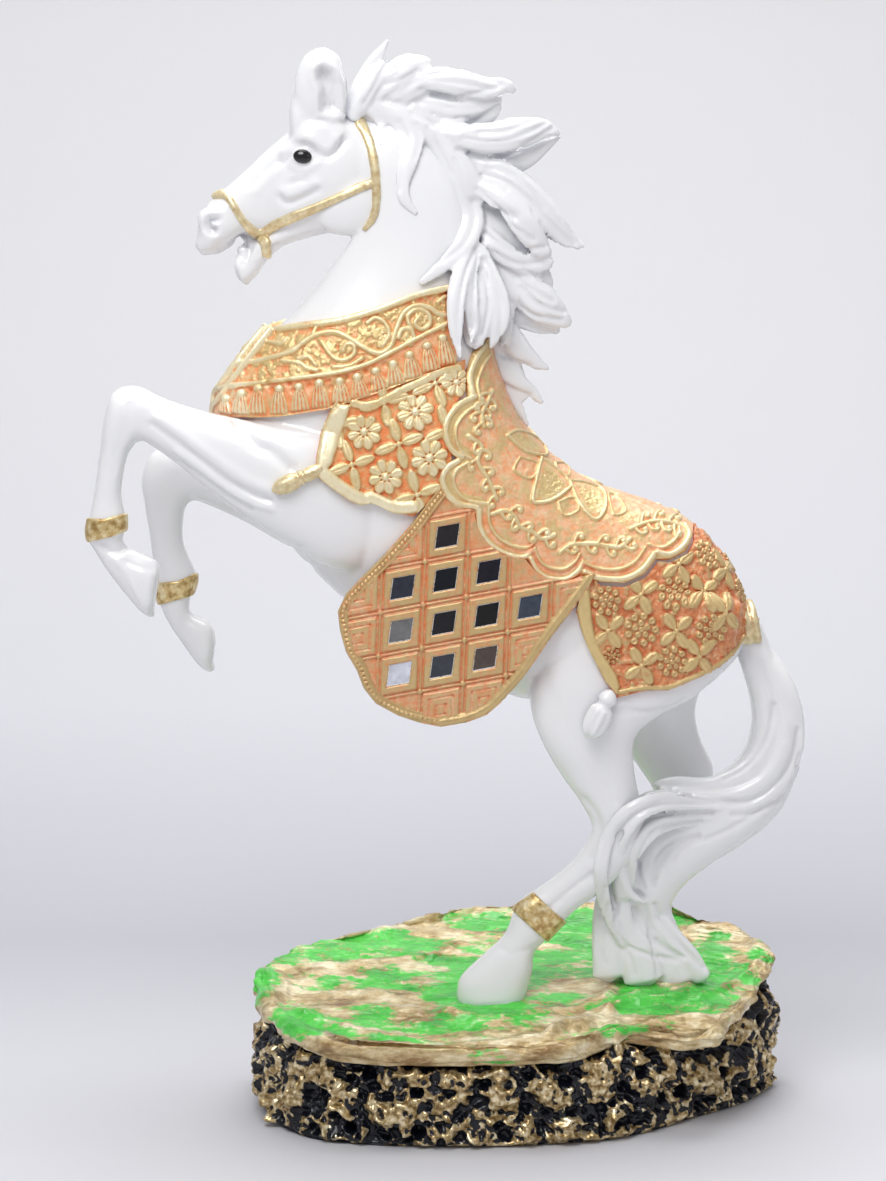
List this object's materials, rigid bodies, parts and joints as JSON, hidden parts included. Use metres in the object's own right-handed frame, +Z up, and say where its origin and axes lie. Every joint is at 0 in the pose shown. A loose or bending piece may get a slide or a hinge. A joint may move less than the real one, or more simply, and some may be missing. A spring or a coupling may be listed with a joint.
{
  "type": "horse statue",
  "caption": "Rearing horse ornament in a moulded, mirror-set festival caparison, standing on its hind legs and tail on a painted rock and lava plinth.",
  "frame": {"origin": "middle of the plinth's flat underside", "axes": "+Z up, the horse faces -X, its left side is at -Y"},
  "size_m": [0.2653, 0.1173, 0.4],
  "materials": {
    "white_gloss": "glossy white lacquer on cast resin",
    "caparison_paint": "orange wash in the recesses, pale gold brushed on the raised relief",
    "flap_paint": "orange and pale gold paint",
    "gold_paint": "muted pale gold paint, satin",
    "eye_gloss": "glossy black paint",
    "mirror_glass": "silvered glass tile",
    "steel": "plain wire",
    "lava_paint": "glossy black and gold on pitted cast rock",
    "ground_paint": "bright green with gold dry-brushed ridges"
  },
  "bodies": {
    "root": {"horse_body": "white_gloss", "left_foreleg": "white_gloss", "right_foreleg": "white_gloss", "tail": "white_gloss", "mane": "white_gloss", "left_croup_tassel": "white_gloss", "right_croup_tassel": "white_gloss", "neck_collar": "caparison_paint", "left_chest_panel": "caparison_paint", "right_chest_panel": "caparison_paint", "saddle_cloth": "caparison_paint", "croup_cloth": "caparison_paint", "left_mirror_flap": "flap_paint", "right_mirror_flap": "flap_paint", "bridle": "gold_paint", "left_breast_tassel": "gold_paint", "right_breast_tassel": "gold_paint", "left_fore_band": "gold_paint", "right_fore_band": "gold_paint", "left_hind_band": "gold_paint", "right_hind_band": "gold_paint", "tail_ring": "gold_paint", "left_eye": "eye_gloss", "right_eye": "eye_gloss", "left_mirror_1": "mirror_glass", "left_mirror_2": "mirror_glass", "left_mirror_3": "mirror_glass", "left_mirror_4": "mirror_glass", "left_mirror_5": "mirror_glass", "left_mirror_6": "mirror_glass", "left_mirror_7": "mirror_glass", "left_mirror_8": "mirror_glass", "left_mirror_9": "mirror_glass", "left_mirror_10": "mirror_glass", "left_mirror_11": "mirror_glass", "right_mirror_1": "mirror_glass", "right_mirror_2": "mirror_glass", "right_mirror_3": "mirror_glass", "right_mirror_4": "mirror_glass", "right_mirror_5": "mirror_glass", "right_mirror_6": "mirror_glass", "right_mirror_7": "mirror_glass", "right_mirror_8": "mirror_glass", "right_mirror_9": "mirror_glass", "right_mirror_10": "mirror_glass", "right_mirror_11": "mirror_glass", "left_hind_rod": "steel", "right_hind_rod": "steel", "near_foreleg_pin": "steel", "far_foreleg_pin": "steel", "tail_pin": "steel", "rock_plinth": "lava_paint", "ground_slab": "ground_paint"}
  },
  "joints": []
}
